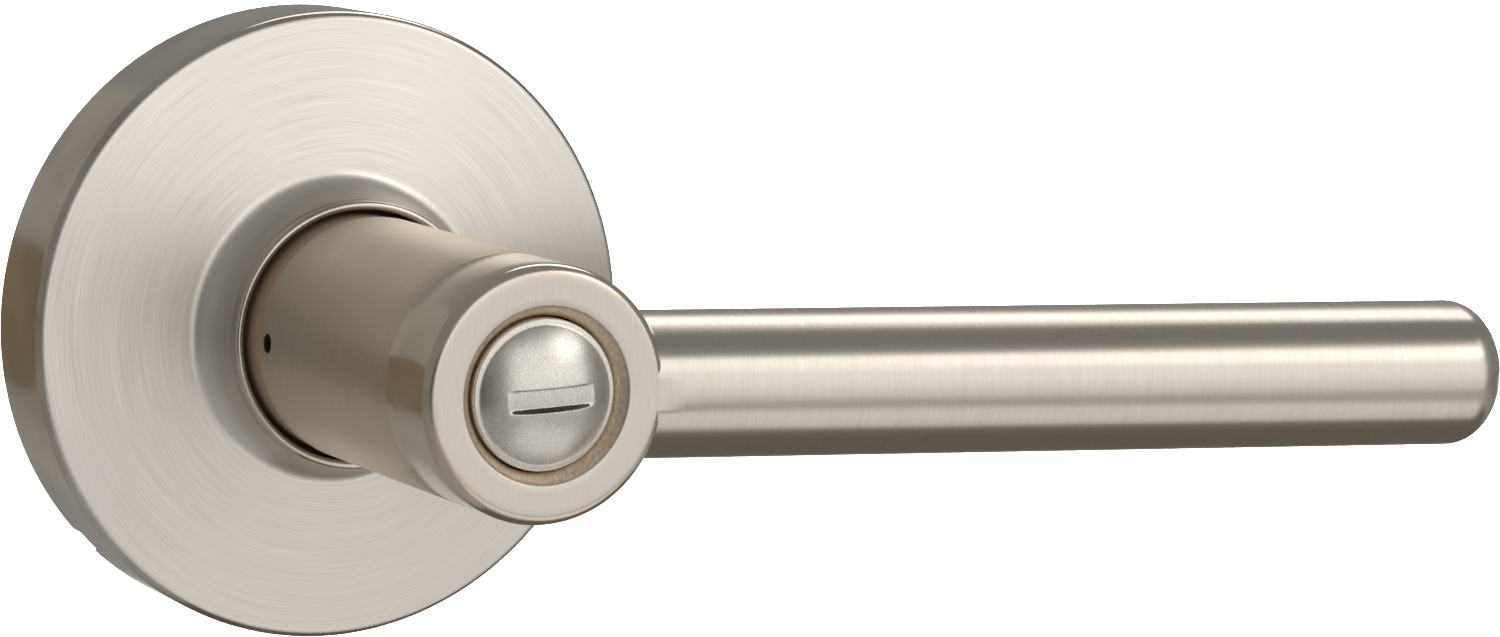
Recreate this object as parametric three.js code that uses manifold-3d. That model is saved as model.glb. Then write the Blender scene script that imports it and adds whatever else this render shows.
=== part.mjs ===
// Door lever handle: the inside half of a tubular privacy lever set.
// A round rose covers the door bore. The lever turns on a tube carried by a
// spring cage behind the rose. A slotted button in the lever's hub is pushed
// and turned to lock, and a small hole in the hub's side gives access to the
// catch that holds the lever on its tube.
//
// Millimetres. The origin is the centre of the rose's back plane on the
// spindle axis. +X runs along the lever, -Y comes out of the door, +Z is up.

import * as THREE from 'three';
import { mergeVertices } from 'three/addons/utils/BufferGeometryUtils.js';
import Module from 'manifold-3d';

const wasm = await Module();
wasm.setup();

// ---------------------------------------------------------------- dimensions
// A y value is a place along the spindle axis: negative is out of the door.

const GAP = 0.3;                 // between pieces that rest on each other
const RUNNING = 0.08;            // radial, between a shaft and its bearing
const CUT = 1;                   // how far a cutting tool runs past a face

const FINE = 48;                 // sides of the large turned pieces
const MEDIUM = 32;               // sides of the small turned pieces
const COARSE = 16;               // sides of screws, rivets and holes
const WIRE_SIDES = 6;

const rose = {
  backRadius: 32.6,
  frontRadius: 33,
  wallEnd: -10.1,                // where the rim wall starts to round over
  faceEdge: { r: 31.8, y: -11.3 },
  faceInner: { r: 16.6, y: -13 },
  filletDepth: 3,                // of the fillet between the face and the collar
  lipRadius: 14.1,
  lip: -19.2,
  collarBore: 13.5,
  thickness: 1,
  notchAngle: 227,               // degrees, from +X towards +Z
  notchWidth: 3.4,
  notchDepth: 1.6,
};

const plate = { radius: 31, thickness: 1.5, bore: 8.7 };
const screw = {
  offset: 19.05,                 // 38.1 mm centres, each side of the spindle
  headRadius: 3.9,
  headHeight: 2.3,
  radius: 2.05,
  length: 19,
  hole: 2.4,
  crossWidth: 0.9,               // of the recess in the head
};
const rivet = { offset: 18, headRadius: 2.6, headHeight: 1.1, radius: 1.5, hole: 1.8 };

const LEVER_SWING = 50;          // degrees each way
const TOP = 90;                  // degrees, from +X towards +Z

const cage = {
  outer: 14.5,
  inner: 13.3,
  back: -1.8,
  front: -9.8,
  wall: 1,
  bore: 9.5,
  earRadius: 3.6,
  stopInner: 11.2,
  stopSpan: 8,                   // degrees
  stopClear: 1,                  // degrees between the finger and a stop
  tabInner: 12.4,
  tabHalf: 6,                    // half of the tab's angle, degrees
};
const driver = { bore: 8.3, outer: 12.2, back: -1.8, thickness: 1.2 };
const finger = { inner: 11.4, outer: 12, front: -8.4, half: 8 };
const coil = {
  radius: 10,
  wire: 0.6,
  turns: 3,
  back: -4,
  front: -7.75,
  legEnd: 12.8,
  legAngle: 15,                  // degrees, each side of the tab
  steps: 90,
};

const tube = { outer: 8, inner: 6.8, front: -44, back: 4.6, groove: 7.1 };
const ringGroove = { front: 1.1, back: 2.5 };

const clip = {
  root: 24,
  reach: 30.8,
  foot: -1.8,
  bulge: -5.4,
  end: -8.2,
  thickness: 0.5,
  width: 8,
  angles: [45, 165, 285],        // degrees, from +X towards +Z
};

const washer = { inner: 8.3, outer: 12, front: 0.3, back: 1 };
const snapRing = { inner: 7.35, outer: 10.2, front: 1.4, back: 2.2, opening: 20 };

const sleeve = { outer: 9.2, flange: 11.8, back: -8.5, front: -10.8, flangeThickness: 0.7 };
const bushing = { outer: 13.2, flange: 15, front: -15, back: -10.4, flangeThickness: 0.8 };

const hub = {
  neckRadius: 12,
  neckBack: -11.2,
  neckStep: -15.4,               // in front of it the neck is thicker
  neckFrontRadius: 12.5,
  baseEdge: -22.2,
  baseRadius: 12.8,
  frontRadius: 13.3,
  rounding: 1.25,
  face: -65.5,
  tubeBore: 8.15,
  tubeBoreEnd: -46,
};
const recess = { outer: 9.05, bore: 8, chamferEnd: -64.3, floor: -54 };
const web = { back: -50, bore: 3.7, counterbore: 5.5 };
const guide = { outer: 3.4, flange: 6.5, front: -54.9, back: -49.9 };

const bar = {
  radius: 7.57,
  axis: -58.1,
  root: 9.8,                     // inside the hub's wall
  start: 12.2,                   // of the part in front of the hub's face
  roundingStart: 106.9,
  end: 112.2,
};

const hole = { radius: 1, y: -24.3 };
const catchPocket = { depth: 10.3, width: 3.6, height: 4.2 };
const lockCatch = {
  tip: -10,
  back: -5,
  backThickness: 0.9,
  width: 3,
  backWidth: 4.8,
  height: 3.5,
  corner: 0.5,
};
const leaf = {
  thickness: 0.35,
  width: 3,
  wallX: -6.3,
  tipX: -4.7,
  anchor: -36,
  bendFrom: -31,
  bendTo: -26,
  tip: -21.5,
};

const button = {
  radius: 7.8,
  rim: -64.7,
  crown: -67.15,
  skirt: -60.2,
  floor: -62.2,
  inner: 6.6,
  edge: 0.35,
};
const slot = { length: 9.2, width: 2.3, floor: -66.2, angle: 4.6 };
const stem = { radius: 2, back: -8 };
const stemGroove = { radius: 1.5, front: -49.7, back: -48.5 };
const eClip = { inner: 1.8, outer: 4.4, opening: 30 };
const turnBar = { width: 5, thickness: 1.2, front: -7.7, back: 38 };
const seat = { inner: 2.3, outer: 6.2, thickness: 0.7 };
const buttonCoil = { radius: 5.2, wire: 0.4, front: -60.5, back: -55.7, turns: 2.5, steps: 40 };

const spindleHub = { outer: 6.6, inner: 5.3, front: -3.5, back: 4.4 };
const spindle = { outer: 4.9, inner: 3.5, front: -3, back: 36, half: 120 };

// ------------------------------------------------------------------ materials

const finish = (color, roughness, metalness) =>
  new THREE.MeshStandardMaterial({ color, roughness, metalness });

const satinNickel = () => finish(0xb9b2a8, 0.38, 1);
const blastedNickel = () => finish(0xaba398, 0.5, 1);
const platedSteel = () => finish(0xa9a9a4, 0.45, 1);
const castZinc = () => finish(0x8f9092, 0.55, 1);
const springSteel = () => finish(0x6d6c69, 0.35, 1);
const blackNylon = () => finish(0x1b1b1c, 0.6, 0);
const whiteNylon = () => finish(0xd9d6cc, 0.55, 0);

// -------------------------------------------------------------- solid helpers

const degrees = THREE.MathUtils.degToRad;

// A closed shape with its faces pointing out, as a solid that can be cut.
function solidOf(geometry) {
  const bare = geometry.clone();
  bare.deleteAttribute('normal');
  bare.deleteAttribute('uv');
  const merged = mergeVertices(bare, 1e-4);
  const index = merged.index.array;
  const triangles = [];
  for (let i = 0; i < index.length; i += 3) {
    const [a, b, c] = [index[i], index[i + 1], index[i + 2]];
    if (a !== b && b !== c && c !== a) triangles.push(a, b, c);
  }
  return new wasm.Manifold(new wasm.Mesh({
    numProp: 3,
    vertProperties: new Float32Array(merged.attributes.position.array),
    triVerts: new Uint32Array(triangles),
  }));
}

function geometryOf(solid) {
  const mesh = solid.getMesh();
  const geometry = new THREE.BufferGeometry();
  geometry.setAttribute('position', new THREE.BufferAttribute(mesh.vertProperties, 3));
  geometry.setIndex(new THREE.BufferAttribute(mesh.triVerts, 1));
  geometry.computeVertexNormals();
  return geometry;
}

const join = (...shapes) => geometryOf(shapes.map(solidOf).reduce((a, b) => a.add(b)));
const cut = (body, ...tools) =>
  geometryOf(tools.map(solidOf).reduce((a, b) => a.subtract(b), solidOf(body)));

// A body of revolution about Y from a closed outline of [radius, y] corners.
function turned(corners, sides) {
  const area = corners.reduce((sum, [r, y], i) => {
    const [r2, y2] = corners[(i + 1) % corners.length];
    return sum + r * y2 - r2 * y;
  }, 0);
  const ordered = area > 0 ? corners : [...corners].reverse();
  const axisStart = ordered.findIndex(([r], i) =>
    r === 0 && ordered[(i + ordered.length - 1) % ordered.length][0] === 0);
  const onAxis = axisStart >= 0;
  const rolled = onAxis
    ? [...ordered.slice(axisStart), ...ordered.slice(0, axisStart)]
    : [...ordered, ordered[0]];
  return new THREE.LatheGeometry(rolled.map(([r, y]) => new THREE.Vector2(r, y)), sides);
}

const ring = (inner, outer, front, back, sides) =>
  turned([[inner, front], [outer, front], [outer, back], [inner, back]], sides);
const disc = (radius, front, back, sides) =>
  turned([[0, front], [radius, front], [radius, back], [0, back]], sides);

// A flat outline in X and Z, given thickness along Y from front to back. Each
// arc of the outline is drawn with the given number of sides.
function slab(shape, front, back, sides) {
  const geometry = new THREE.ExtrudeGeometry(shape, {
    depth: back - front,
    bevelEnabled: false,
    curveSegments: sides / 2,
  });
  geometry.rotateX(Math.PI / 2);
  geometry.translate(0, back, 0);
  return geometry;
}

function circle(radius, x = 0, z = 0) {
  const path = new THREE.Shape();
  path.absarc(x, z, radius, 0, 2 * Math.PI, false);
  return path;
}

// Part of a ring between two angles in degrees.
function sector(inner, outer, from, to) {
  const shape = new THREE.Shape();
  shape.absarc(0, 0, outer, degrees(from), degrees(to), false);
  shape.absarc(0, 0, inner, degrees(to), degrees(from), true);
  shape.closePath();
  return shape;
}

// A round wire along a list of points.
function wire(points, radius, steps) {
  const section = new THREE.Shape();
  section.absarc(0, 0, radius, 0, 2 * Math.PI, false);
  return new THREE.ExtrudeGeometry(section, {
    steps,
    curveSegments: WIRE_SIDES / 2,
    bevelEnabled: false,
    extrudePath: new THREE.CatmullRomCurve3(points, false, 'centripetal'),
  });
}

const polar = (radius, angle, y) =>
  new THREE.Vector3(radius * Math.cos(degrees(angle)), y, radius * Math.sin(degrees(angle)));

// Points on a helix about Y, one for each 20 degrees or so.
function helix(radius, fromAngle, toAngle, fromY, toY) {
  const count = Math.round((toAngle - fromAngle) / 20);
  return Array.from({ length: count + 1 }, (_, i) => {
    const t = i / count;
    return polar(
      radius,
      THREE.MathUtils.lerp(fromAngle, toAngle, t),
      THREE.MathUtils.lerp(fromY, toY, t),
    );
  });
}

function piece(name, geometry, material, position = [0, 0, 0], turnY = 0) {
  const mesh = new THREE.Mesh(geometry, material);
  mesh.name = name;
  mesh.position.set(...position);
  mesh.rotation.y = degrees(turnY);
  return mesh;
}

// ----------------------------------------------------------------- fixed side

// Pressed shell: a rim wall, a slightly coned face and a collar, one sheet
// thick, with a small notch in the back edge for prying it off.
function roseCover() {
  const { faceEdge, faceInner, thickness: t } = rose;
  const fillet = { r: faceInner.r - rose.lipRadius, y: rose.filletDepth };
  const filletCorners = [0.3, 0.6, 0.85].map((part) => {
    const angle = part * Math.PI / 2;
    return [
      faceInner.r - fillet.r * Math.sin(angle),
      faceInner.y - fillet.y * (1 - Math.cos(angle)),
    ];
  });
  const shell = turned([
    [rose.backRadius, 0],
    [rose.frontRadius, rose.wallEnd],
    [rose.frontRadius - 0.35, rose.wallEnd - 0.85],
    [faceEdge.r, faceEdge.y],
    [faceInner.r, faceInner.y],
    ...filletCorners,
    [rose.lipRadius, faceInner.y - fillet.y],
    [rose.lipRadius, rose.lip],
    [rose.collarBore, rose.lip],
    [rose.collarBore, faceInner.y + t - fillet.y / 2],
    [faceInner.r - t, faceInner.y + t],
    [faceEdge.r - t / 2, faceEdge.y + t],
    [rose.frontRadius - t, rose.wallEnd + t / 2],
    [rose.backRadius - t, 0],
  ], FINE);
  const notch = new THREE.BoxGeometry(4 * t, 2 * rose.notchDepth, rose.notchWidth);
  notch.translate(rose.backRadius + t, 0, 0);
  notch.rotateY(-degrees(rose.notchAngle));
  return cut(shell, notch);
}

// Steel disc screwed to the door, which carries the cage and the rose.
function mountingPlate() {
  const body = ring(plate.bore, plate.radius, -plate.thickness, 0, FINE);
  const drills = [-1, 1].flatMap((side) => [
    drill(screw.hole, side * screw.offset, 0),
    drill(rivet.hole, 0, side * rivet.offset),
  ]);
  return cut(body, ...drills);
}

// A round tool along Y through the mounting plate.
function drill(radius, x, z) {
  const tool = disc(radius, -plate.thickness - CUT, CUT, COARSE);
  tool.translate(x, 0, z);
  return tool;
}

// Cup for the return spring, with a central tab between the spring's legs,
// a stop at each end of the finger's travel, and two riveted ears.
function springCage() {
  const inside = cage.front + cage.wall;
  const shape = circle(cage.outer);
  shape.holes.push(circle(cage.inner));
  const wall = slab(shape, cage.front, cage.back, MEDIUM);
  const front = ring(cage.bore, cage.inner + cage.wall / 2, cage.front, inside, MEDIUM);
  const stopFrom = LEVER_SWING + finger.half + cage.stopClear;
  const stopTo = stopFrom + cage.stopSpan;
  return join(
    wall,
    front,
    cageLug(cage.tabInner, TOP - cage.tabHalf, TOP + cage.tabHalf),
    cageLug(cage.stopInner, TOP + stopFrom, TOP + stopTo),
    cageLug(cage.stopInner, TOP - stopTo, TOP - stopFrom),
    ...[-1, 1].map(cageEar),
  );
}

// A block on the inside of the cage's wall, as deep as the finger's path.
function cageLug(inner, from, to) {
  const shape = sector(inner, cage.inner + cage.wall / 2, from, to);
  const back = driver.back - driver.thickness - GAP;
  return slab(shape, cage.front + cage.wall / 2, back, 4);
}

function cageEar(side) {
  const shape = new THREE.Shape();
  const root = cage.inner + cage.wall / 2;
  shape.moveTo(cage.earRadius, root * side);
  shape.lineTo(cage.earRadius, rivet.offset * side);
  shape.absarc(0, rivet.offset * side, cage.earRadius, 0, side * Math.PI, side < 0);
  shape.lineTo(-cage.earRadius, root * side);
  shape.closePath();
  shape.holes.push(circle(rivet.hole, 0, rivet.offset * side));
  return slab(shape, cage.back - cage.wall, cage.back, 8);
}

// Nylon bearing in the cage's front wall, with a flange the lever bears on.
function bearingSleeve() {
  const flangeBack = sleeve.front + sleeve.flangeThickness;
  return turned([
    [tube.outer + RUNNING, sleeve.front],
    [sleeve.flange, sleeve.front],
    [sleeve.flange, flangeBack],
    [sleeve.outer, flangeBack],
    [sleeve.outer, sleeve.back],
    [tube.outer + RUNNING, sleeve.back],
  ], MEDIUM);
}

// Black nylon ring in the rose's collar, which centres the hub's neck.
function collarBushing() {
  const inner = hub.neckRadius + RUNNING;
  const flangeFront = bushing.back - bushing.flangeThickness;
  return turned([
    [inner, bushing.front],
    [bushing.outer, bushing.front],
    [bushing.outer, flangeFront],
    [bushing.flange, flangeFront],
    [bushing.flange, bushing.back],
    [inner, bushing.back],
  ], MEDIUM);
}

// Pan-head machine screw along Y with a cross recess, seated at y = 0.
function mountingScrew() {
  const { headRadius: r, headHeight: h, radius, crossWidth } = screw;
  const body = turned([
    [0, -h],
    [r * 0.55, -h * 0.95],
    [r * 0.9, -h * 0.65],
    [r, 0],
    [radius, 0],
    [radius, screw.length - radius / 2],
    [radius / 2, screw.length],
    [0, screw.length],
  ], COARSE);
  const across = new THREE.BoxGeometry(r, h, crossWidth);
  const along = new THREE.BoxGeometry(crossWidth, h, r);
  across.translate(0, -h, 0);
  along.translate(0, -h, 0);
  return cut(body, across, along);
}

// Domed rivet through a cage ear and the plate.
function cageRivet() {
  const head = cage.back - cage.wall - GAP;
  return turned([
    [0, head - rivet.headHeight],
    [rivet.headRadius * 0.6, head - rivet.headHeight * 0.8],
    [rivet.headRadius, head],
    [rivet.radius, head],
    [rivet.radius, 0],
    [0, 0],
  ], COARSE);
}

// Bent spring strip on the plate that grips the inside of the rose's wall.
function roseClip() {
  const shape = new THREE.Shape([
    [clip.root, clip.foot],
    [clip.reach - 0.4, clip.foot],
    [clip.reach, clip.foot - 0.4],
    [clip.reach + 0.4, clip.bulge],
    [clip.reach - 0.5, clip.end],
    [clip.reach - 0.95, clip.end + 0.2],
    [clip.reach - 0.15, clip.bulge],
    [clip.reach - 0.55, clip.foot - clip.thickness],
    [clip.root, clip.foot - clip.thickness],
  ].map(([x, y]) => new THREE.Vector2(x, y)));
  return strip(shape, clip.width);
}

// A flat outline in X and Y, given a width along Z about the middle.
function strip(shape, width) {
  const geometry = new THREE.ExtrudeGeometry(shape, { depth: width, bevelEnabled: false });
  geometry.translate(0, 0, -width / 2);
  return geometry;
}

// Torsion spring round the tube, with a straight leg at each end that leaves
// the coil along its tangent. The legs stand each side of the cage's tab.
function returnSpring() {
  const lag = THREE.MathUtils.radToDeg(Math.acos(coil.radius / coil.legEnd));
  const from = TOP + coil.legAngle + lag;
  const to = TOP - coil.legAngle - lag + coil.turns * 360;
  const turns = helix(coil.radius, from, to, coil.back, coil.front);
  const firstTip = polar(coil.legEnd, TOP + coil.legAngle, coil.back);
  const lastTip = polar(coil.legEnd, TOP - coil.legAngle, coil.front);
  return wire([firstTip, ...turns, lastTip], coil.wire, coil.steps);
}

// ----------------------------------------------------------------- lever side

// Cast lever: a neck inside the collar, a slightly flared hub with a dished
// front, and a round bar that crosses just in front of the hub's face.
function leverBody() {
  const r = hub.rounding;
  const roundingCorners = [0.25, 0.5, 0.75].map((part) => {
    const angle = part * Math.PI / 2;
    return [
      hub.frontRadius - r * (1 - Math.cos(angle)),
      hub.face + r * (1 - Math.sin(angle)),
    ];
  });
  const body = turned([
    [hub.neckRadius, hub.neckBack],
    [hub.neckRadius, hub.neckStep],
    [hub.neckFrontRadius, hub.neckStep],
    [hub.neckFrontRadius, hub.baseEdge + GAP],
    [hub.baseRadius, hub.baseEdge],
    [hub.frontRadius, hub.face + r],
    ...roundingCorners,
    [hub.frontRadius - r, hub.face],
    [recess.outer, hub.face],
    [recess.bore, recess.chamferEnd],
    [recess.bore, recess.floor],
    [web.bore, recess.floor],
    [web.bore, web.back],
    [web.counterbore, web.back],
    [web.counterbore, hub.tubeBoreEnd],
    [hub.tubeBore, hub.tubeBoreEnd],
    [hub.tubeBore, hub.neckBack],
  ], FINE);
  return cut(join(body, leverBar()), pinHole(), catchPocketTool());
}

// The bar, from inside the hub's wall to its rounded end. The part that
// stands in front of the hub's face starts at a straight edge.
function leverBar() {
  const nose = bar.end - bar.roundingStart;
  const noseCorners = [0.2, 0.4, 0.6, 0.8, 0.93].map((part) => {
    const angle = part * Math.PI / 2;
    return [bar.radius * Math.cos(angle), bar.roundingStart + nose * Math.sin(angle)];
  });
  const round = turned([
    [0, bar.root],
    [bar.radius, bar.root],
    [bar.radius, bar.roundingStart],
    ...noseCorners,
    [0, bar.end],
  ], MEDIUM);
  round.rotateZ(-Math.PI / 2);
  round.translate(0, bar.axis, 0);
  const trim = new THREE.BoxGeometry(bar.start, 2 * bar.radius, 2 * bar.radius);
  trim.translate(bar.start / 2, hub.face - bar.radius, 0);
  return cut(round, trim);
}

// Access hole for a pin, in the side of the hub away from the bar.
function pinHole() {
  const tool = disc(hole.radius, 0, 2 * CUT + hub.baseRadius - catchPocket.depth, COARSE);
  tool.rotateZ(Math.PI / 2);
  tool.translate(-catchPocket.depth + CUT, hole.y, 0);
  return tool;
}

// Blind pocket in the bore that the catch springs into.
function catchPocketTool() {
  const depth = catchPocket.depth - hub.tubeBore + CUT;
  const tool = new THREE.BoxGeometry(depth, catchPocket.height, catchPocket.width);
  tool.translate(-catchPocket.depth + depth / 2, hole.y, 0);
  return tool;
}

// Steel tube that carries the lever, with a groove for the retaining ring
// and a slot for the catch.
function driveTube() {
  const body = turned([
    [tube.inner, tube.front],
    [tube.outer, tube.front],
    [tube.outer, ringGroove.front],
    [tube.groove, ringGroove.front],
    [tube.groove, ringGroove.back],
    [tube.outer, ringGroove.back],
    [tube.outer, tube.back],
    [tube.inner, tube.back],
  ], MEDIUM);
  const reach = 2 * (tube.outer - tube.inner) + CUT;
  const slotTool = new THREE.BoxGeometry(reach, catchPocket.height, catchPocket.width);
  slotTool.translate(-(tube.outer + tube.inner) / 2, hole.y, 0);
  return cut(body, slotTool);
}

// Plate fixed on the tube, whose finger pushes one or other spring leg.
function springDriver() {
  const front = driver.back - driver.thickness;
  const base = ring(driver.bore, driver.outer, front, driver.back, MEDIUM);
  const shape = sector(finger.inner, finger.outer, TOP - finger.half, TOP + finger.half);
  return join(base, slab(shape, finger.front, driver.back - driver.thickness / 2, 4));
}

function thrustWasher() {
  return ring(washer.inner, washer.outer, washer.front, washer.back, MEDIUM);
}

// Snap ring in the tube's groove, open at the bottom.
function retainingRing() {
  const shape = sector(snapRing.inner, snapRing.outer, -90 + snapRing.opening, 270 - snapRing.opening);
  return slab(shape, snapRing.front, snapRing.back, MEDIUM);
}

// Plug in the back of the tube that holds the spindle.
function spindlePlug() {
  return ring(spindleHub.inner, spindleHub.outer, spindleHub.front, spindleHub.back, MEDIUM);
}

// Half-round channel that turns the latch, with the turn bar inside it.
function spindleChannel() {
  const { inner, outer, half, front, back } = spindle;
  return slab(sector(inner, outer, TOP - half, TOP + half), front, back, COARSE);
}

// Flanged nylon bushing in the hub's web, which guides the button's stem.
function stemGuide() {
  const flangeBack = recess.floor - GAP;
  return turned([
    [stem.radius + RUNNING, guide.front],
    [guide.flange, guide.front],
    [guide.flange, flangeBack],
    [guide.outer, flangeBack],
    [guide.outer, guide.back],
    [stem.radius + RUNNING, guide.back],
  ], COARSE);
}

// ----------------------------------------------------------------- the catch

// T-shaped steel catch: its nose stands in the lever's pocket and its wide
// back stays inside the tube.
function leverCatch() {
  const nose = lockCatch.width / 2;
  const wide = lockCatch.backWidth / 2;
  const neck = lockCatch.back - lockCatch.backThickness;
  const { corner } = lockCatch;
  const shape = new THREE.Shape([
    [lockCatch.tip + corner, -nose],
    [neck, -nose],
    [neck, -wide],
    [lockCatch.back, -wide],
    [lockCatch.back, wide],
    [neck, wide],
    [neck, nose],
    [lockCatch.tip + corner, nose],
    [lockCatch.tip, nose - corner],
    [lockCatch.tip, -nose + corner],
  ].map(([x, z]) => new THREE.Vector2(x, z)));
  const half = lockCatch.height / 2;
  return slab(shape, -half, half, 4);
}

// Leaf along the tube's inside wall that pushes the catch outwards.
function catchSpring() {
  const { thickness: t, wallX, tipX, anchor, bendFrom, bendTo, tip } = leaf;
  const shape = new THREE.Shape([
    [wallX, anchor],
    [wallX, bendFrom],
    [tipX, bendTo],
    [tipX, tip],
    [tipX + t, tip],
    [tipX + t, bendTo],
    [wallX + t, bendFrom],
    [wallX + t, anchor],
  ].map(([x, y]) => new THREE.Vector2(x, y)));
  return strip(shape, leaf.width);
}

// ----------------------------------------------------------------- the button

// Domed button with a coined slot across its crown and a hollow underside.
function buttonHead() {
  const { radius, rim, crown, skirt, floor, inner, edge } = button;
  const domeRadius = radius - edge;
  const domeCorners = [0.85, 0.65, 0.4].map((part) => [
    domeRadius * part,
    THREE.MathUtils.lerp(crown, rim, part * part),
  ]);
  const head = turned([
    [0, crown],
    ...[...domeCorners].reverse(),
    [domeRadius, rim],
    [radius, rim + edge],
    [radius, skirt],
    [inner, skirt],
    [inner, floor],
    [0, floor],
  ], FINE);
  return cut(head, slotTool());
}

// Round-ended tool for the slot, turned a few degrees from the bar's line.
function slotTool() {
  const end = slot.width / 2;
  const straight = slot.length / 2 - end;
  const shape = new THREE.Shape();
  shape.moveTo(-straight, -end);
  shape.lineTo(straight, -end);
  shape.absarc(straight, 0, end, -Math.PI / 2, Math.PI / 2, false);
  shape.lineTo(-straight, end);
  shape.absarc(-straight, 0, end, Math.PI / 2, 3 * Math.PI / 2, false);
  const tool = slab(shape, button.crown - CUT, slot.floor, 8);
  tool.rotateY(-degrees(slot.angle));
  return tool;
}

function buttonStem() {
  const tip = button.floor + GAP;
  return turned([
    [0, tip],
    [stem.radius, tip],
    [stem.radius, stemGroove.front],
    [stemGroove.radius, stemGroove.front],
    [stemGroove.radius, stemGroove.back],
    [stem.radius, stemGroove.back],
    [stem.radius, stem.back],
    [0, stem.back],
  ], COARSE);
}

// E-clip on the stem, which stops the button from coming out.
function stemClip() {
  const { inner, outer, opening } = eClip;
  const shape = sector(inner, outer, -90 + opening, 270 - opening);
  return slab(shape, stemGroove.front + GAP, stemGroove.back - GAP, COARSE);
}

// Flat bar behind the stem, inside the spindle, that works the lock.
function turnBlade() {
  const length = turnBar.back - turnBar.front;
  return new THREE.BoxGeometry(turnBar.thickness, length, turnBar.width);
}

function springSeat() {
  const front = button.floor + GAP;
  return ring(seat.inner, seat.outer, front, front + seat.thickness, COARSE);
}

function buttonSpring() {
  const { radius, wire: gauge, front, back, turns, steps } = buttonCoil;
  return wire(helix(radius, 0, turns * 360, front, back), gauge, steps);
}

// ------------------------------------------------------------------ placement

const fixedSide = new THREE.Group();
fixedSide.add(
  piece('rose_cover', roseCover(), satinNickel()),
  piece('mounting_plate', mountingPlate(), platedSteel()),
  piece('spring_cage', springCage(), platedSteel()),
  piece('bearing_sleeve', bearingSleeve(), whiteNylon()),
  piece('collar_bushing', collarBushing(), blackNylon()),
  piece('return_spring', returnSpring(), springSteel()),
);
for (const [side, name] of [[-1, 'left'], [1, 'right']]) {
  const seatY = -plate.thickness - GAP;
  fixedSide.add(piece(`mounting_screw_${name}`, mountingScrew(), platedSteel(),
    [side * screw.offset, seatY, 0]));
}
for (const [side, name] of [[-1, 'bottom'], [1, 'top']]) {
  fixedSide.add(piece(`cage_rivet_${name}`, cageRivet(), platedSteel(),
    [0, 0, side * rivet.offset]));
}
clip.angles.forEach((angle, i) => {
  fixedSide.add(piece(`rose_clip_${i + 1}`, roseClip(), springSteel(), [0, 0, 0], -angle));
});

const leverSide = new THREE.Group();
leverSide.add(
  piece('lever_body', leverBody(), satinNickel()),
  piece('drive_tube', driveTube(), platedSteel()),
  piece('spring_driver', springDriver(), platedSteel()),
  piece('thrust_washer', thrustWasher(), platedSteel()),
  piece('retaining_ring', retainingRing(), springSteel()),
  piece('spindle_plug', spindlePlug(), castZinc()),
  piece('spindle', spindleChannel(), platedSteel()),
  piece('stem_guide', stemGuide(), whiteNylon()),
  piece('lever_catch', leverCatch(), platedSteel(), [0, hole.y, 0]),
  piece('catch_spring', catchSpring(), springSteel()),
);

const buttonSide = new THREE.Group();
buttonSide.add(
  piece('button_head', buttonHead(), blastedNickel()),
  piece('button_stem', buttonStem(), platedSteel()),
  piece('stem_clip', stemClip(), springSteel()),
  piece('turn_bar', turnBlade(), platedSteel(), [0, (turnBar.front + turnBar.back) / 2, 0]),
  piece('spring_seat', springSeat(), whiteNylon()),
  piece('button_spring', buttonSpring(), springSteel()),
);

const group = new THREE.Group();
group.add(fixedSide, leverSide, buttonSide);

export default group;
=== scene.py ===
"""Looks of the door lever handle: turned and cast satin-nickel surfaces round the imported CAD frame.

Outlines are in millimetres in the row frame: the spindle axis is Y, and negative y is out of the door.
"""

import math

import bmesh
import bpy
from mathutils import Matrix, Vector


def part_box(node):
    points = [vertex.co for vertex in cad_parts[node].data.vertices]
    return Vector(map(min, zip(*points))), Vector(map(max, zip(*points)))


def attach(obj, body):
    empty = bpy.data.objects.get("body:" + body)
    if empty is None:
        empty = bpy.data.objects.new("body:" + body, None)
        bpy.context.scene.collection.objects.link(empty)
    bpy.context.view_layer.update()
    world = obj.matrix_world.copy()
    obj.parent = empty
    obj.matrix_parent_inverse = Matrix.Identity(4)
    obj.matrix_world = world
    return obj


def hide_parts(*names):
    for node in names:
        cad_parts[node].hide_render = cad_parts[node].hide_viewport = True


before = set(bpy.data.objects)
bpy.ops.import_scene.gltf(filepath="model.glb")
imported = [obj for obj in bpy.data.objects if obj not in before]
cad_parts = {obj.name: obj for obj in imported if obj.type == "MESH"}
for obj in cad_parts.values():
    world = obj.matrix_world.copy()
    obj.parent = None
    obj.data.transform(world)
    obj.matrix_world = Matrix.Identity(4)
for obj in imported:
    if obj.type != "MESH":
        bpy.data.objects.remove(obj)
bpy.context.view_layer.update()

MM = 0.001
AROUND, BAR_AROUND, HOLE_AROUND, BUTTON_AROUND = 256, 192, 48, 320   # sides of the turned surfaces
SAME_POINT, ON_AXIS = 1e-4, 1e-6    # mm: closer outline points are one, and smaller radii are on the axis
SHARP, BUTTON_SHARP, FLAT_SHARP = 35.0, 50.0, 30.0   # degrees between faces from which an edge is sharp
Y_AXIS, X_AXIS = "Y", "X"


# ---------------------------------------------------------------- dimensions

def mm_box(node):
    low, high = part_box(node)
    return low / MM, high / MM


ROSE_LOW, ROSE_HIGH = mm_box("rose_cover")
LEVER_LOW, LEVER_HIGH = mm_box("lever_body")
BUTTON_LOW, BUTTON_HIGH = mm_box("button_head")

ROSE_RADIUS = ROSE_HIGH.x
ROSE_LIP = ROSE_LOW.y
COLLAR_OUTER, COLLAR_BORE = 14.1, 13.5
SHEET = 1.0
NOTCH_ANGLE, NOTCH_WIDTH, NOTCH_DEPTH = 227.0, 3.4, 2.0   # degrees from +X towards +Z, then mm

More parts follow.
